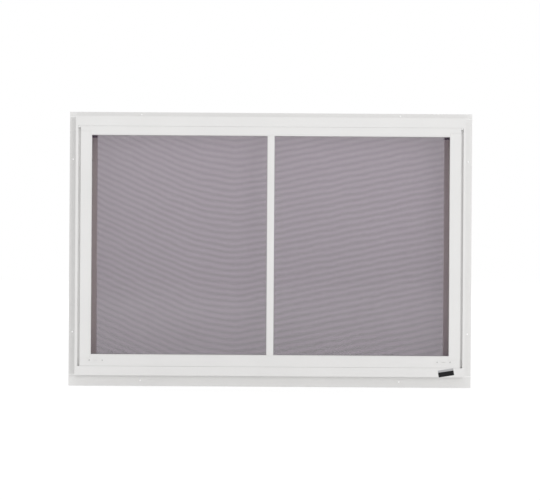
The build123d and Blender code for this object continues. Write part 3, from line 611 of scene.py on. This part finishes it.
def coated_yarn():
    material, shader = new_finish("coated_yarn", YARN, roughness=0.55)
    tree = material.node_tree
    where = tree.nodes.new("ShaderNodeTexCoord")
    split = tree.nodes.new("ShaderNodeSeparateXYZ")
    tree.links.new(where.outputs["Object"], split.inputs["Vector"])
    # Painted light and shade: wavy bands laid into the yarn's colour.
    slope = calculate(tree, "MULTIPLY", split.outputs["X"], BAND_TILT)
    level = calculate(tree, "ADD", split.outputs["Z"], slope)
    for bend in (WIDE_BEND, SHARP_BEND):
        level = calculate(tree, "SUBTRACT", level, bent(tree, split.outputs["X"], bend))
    wander = spread(material, marks(material, WANDER_SCALE), -BAND_WANDER, BAND_WANDER)
    phase = calculate(tree, "ADD", calculate(tree, "DIVIDE", level, BAND_STEP), wander)
    painted_band_wave = calculate(tree, "SINE", calculate(tree, "MULTIPLY", phase, 2 * math.pi))
    low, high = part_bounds("screen_mesh")
    # Painted light and shade: lighter towards the top, darker towards the bottom.
    painted_height_shading = calculate(tree, "MULTIPLY", split.outputs["Z"], 2 * PAINTED_TOP_LIGHT / (high.z - low.z))
    tone = calculate(tree, "ADD", calculate(tree, "MULTIPLY", painted_band_wave, PAINTED_BAND_DEPTH), painted_height_shading)
    # A tone of -1 is black, 0 is the yarn's own colour and 1 is twice that.
    share = calculate(tree, "ADD", calculate(tree, "MULTIPLY", tone, 0.5), 0.5)
    tint(material, shader, share, (0.0, 0.0, 0.0), shade_of(YARN, 2.0))
    return material


FINISHES["grey_mesh"] = coated_yarn()
print("finishes with the yarn:", len(FINISHES))

# %% [markdown]
# The label's paper
#
# The label is thin, rather matt paper in two tones. An image could hold them, but a test of the
# height in the label's own space gives a sharper edge and needs no file.

# %% The label's paper
LABEL_PALE = (0.44, 0.44, 0.45)
LABEL_BLACK = (0.012, 0.012, 0.013)
LABEL_SPLIT = 3.0 * MM
PAPER_SPECULAR = 0.15


def two_band_paper():
    material, shader = new_finish("two_band_paper", LABEL_PALE, roughness=0.5)
    shader.inputs["Specular IOR Level"].default_value = PAPER_SPECULAR
    tree = material.node_tree
    where = tree.nodes.new("ShaderNodeTexCoord")
    split = tree.nodes.new("ShaderNodeSeparateXYZ")
    tree.links.new(where.outputs["Object"], split.inputs["Vector"])
    upper = calculate(tree, "GREATER_THAN", split.outputs["Z"], LABEL_SPLIT)
    tint(material, shader, upper, LABEL_BLACK, LABEL_PALE)
    relief(material, shader, marks(material, scale=2500.0, detail=3.0), height=0.01 * MM)
    return material


label_paper = two_band_paper()
print("label paper: pale from %.0f mm above its middle" % (LABEL_SPLIT / MM))

# %% [markdown]
# Dress every piece
#
# Each solid already knows its material slot by name, so the finishes go on in one loop. The pieces
# made above take theirs directly.

# %% Assign the finishes
def dress(piece, material):
    piece.data.materials.clear()
    piece.data.materials.append(material)


dressed = {}
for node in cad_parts.values():
    slot_name = node.data.materials[0].name
    dress(node, FINISHES[slot_name])
    dressed[slot_name] = dressed.get(slot_name, 0) + 1
dress(insect_mesh, FINISHES["grey_mesh"])
for seal in (ribbed_cord, bulb_strips, left_lip, right_lip):
    dress(seal, FINISHES["black_rubber"])
dress(blank_label, label_paper)
print("dressed:", dressed)

# %% [markdown]
# The floor
#
# The window stands on a pale floor. To the camera and to glossy rays the floor is nearly plain
# white, and takes only a soft shadow. A stronger lamp could whiten it too, but would bleach the
# window. To all other rays the floor glows a little, as a light table does, which softens the shade
# under the sill.

# %% Floor
FLOOR_SIZE = 30.0
FLOOR_GREY = (0.92, 0.92, 0.92)
FLOOR_SHADE = 0.25
FLOOR_GLOW = 1.12
FLOOR_BOUNCE = 0.3


def seen_directly(tree):
    """One where a ray comes from the camera, or from a gloss or glass that shows the background."""
    path = tree.nodes.new("ShaderNodeLightPath")
    seen = calculate(tree, "MAXIMUM", path.outputs["Is Camera Ray"], path.outputs["Is Glossy Ray"])
    return calculate(tree, "MAXIMUM", seen, path.outputs["Is Transmission Ray"])


def make_floor():
    half = FLOOR_SIZE / 2
    height = solid_box[0][2]
    square = ((-half, -half), (half, -half), (half, half), (-half, half))
    corners = [(x, y, height) for x, y in square]
    floor = mesh_piece("floor", corners, [(0, 1, 2, 3)], smooth=False)
    material, shader = new_finish("pale_floor", FLOOR_GREY, roughness=0.9)
    tree = material.node_tree
    glow = tree.nodes.new("ShaderNodeEmission")
    glow.inputs["Strength"].default_value = FLOOR_GLOW
    shaded = tree.nodes.new("ShaderNodeMixShader")
    shaded.inputs["Fac"].default_value = FLOOR_SHADE
    choose = tree.nodes.new("ShaderNodeMixShader")
    tree.links.new(glow.outputs["Emission"], shaded.inputs[1])
    tree.links.new(shader.outputs["BSDF"], shaded.inputs[2])
    bright = calculate(tree, "MAXIMUM", seen_directly(tree), FLOOR_BOUNCE)
    tree.links.new(bright, choose.inputs["Fac"])
    tree.links.new(shader.outputs["BSDF"], choose.inputs[1])
    tree.links.new(shaded.outputs["Shader"], choose.inputs[2])
    tree.links.new(choose.outputs["Shader"], tree.nodes["Material Output"].inputs["Surface"])
    dress(floor, material)
    print("floor at %.0f mm" % (height / MM))


make_floor()

# %% [markdown]
# The light
#
# The world is an even white, a little under full strength, so colours come out about as written. To
# the camera and to glossy rays it is plain white. Even light alone would make the faces look flat,
# so a large soft lamp in front lights one side a little more, and a weaker one does the same for
# the room side.

# %% Light
WORLD_LIGHT = 0.82
LAMP_SIZE = 3.0
LAMPS = {
    "key": {"power": 200.0, "place": (4.1, -8.3, 0.8)},
    "back": {"power": 120.0, "place": (-3.0, 7.0, 3.0)},
}


def aim(thing, target):
    thing.rotation_euler = (Vector(target) - thing.location).to_track_quat("-Z", "Y").to_euler()


def make_light():
    world = bpy.data.worlds.new("studio")
    bpy.context.scene.world = world
    world.use_nodes = True
    tree = world.node_tree
    background = tree.nodes["Background"]
    background.inputs["Color"].default_value = (1, 1, 1, 1)
    lift = calculate(tree, "MULTIPLY", seen_directly(tree), 1 - WORLD_LIGHT)
    tree.links.new(calculate(tree, "ADD", lift, WORLD_LIGHT), background.inputs["Strength"])
    for name, plan in LAMPS.items():
        lamp = bpy.data.lights.new(name, "AREA")
        lamp.energy = plan["power"]
        lamp.size = LAMP_SIZE
        holder = bpy.data.objects.new(name, lamp)
        holder.location = plan["place"]
        bpy.context.scene.collection.objects.link(holder)
        holder.visible_glossy = False
        aim(holder, (0, 0, 0))
        print("lamp %s: %.0f W" % (name, plan["power"]))
    print("world light: %.2f" % WORLD_LIGHT)


make_light()

# %% [markdown]
# The camera
#
# The window is seen straight on and looks almost flat, so the camera stands far away with a long
# lens. The lens follows from that distance and from the size of one pixel on the window's face, so
# the window keeps its size in the picture when the distance changes. A fraction of a degree of yaw
# and roll turns it as it is in the photograph.

# %% Camera
IMAGE_WIDTH = 540
SENSOR = 36.0
CAMERA_AWAY = 4.6
CAMERA_REACH = 100.0
CAMERA_YAW = math.radians(0.15)
CAMERA_ROLL = math.radians(0.37)
PIXEL = 2.305 * MM
AIM_X = -0.9 * MM
AIM_Z = -7.6 * MM


def make_camera():
    camera = bpy.data.cameras.new("camera")
    camera.sensor_width = SENSOR
    camera.lens = SENSOR * CAMERA_AWAY / (IMAGE_WIDTH * PIXEL)
    camera.clip_end = CAMERA_REACH
    holder = bpy.data.objects.new("camera", camera)
    bpy.context.scene.collection.objects.link(holder)
    look = Vector((math.sin(CAMERA_YAW), math.cos(CAMERA_YAW), 0.0))
    target = Vector((AIM_X, solid_box[0][1], AIM_Z))
    holder.location = target - CAMERA_AWAY * look
    turn = look.to_track_quat("-Z", "Y") @ Quaternion((0, 0, 1), CAMERA_ROLL)
    holder.rotation_euler = turn.to_euler()
    bpy.context.scene.camera = holder
    print("camera: lens %.1f mm, %.1f m away" % (camera.lens, CAMERA_AWAY))


make_camera()
bpy.context.scene.view_settings.view_transform = "Standard"
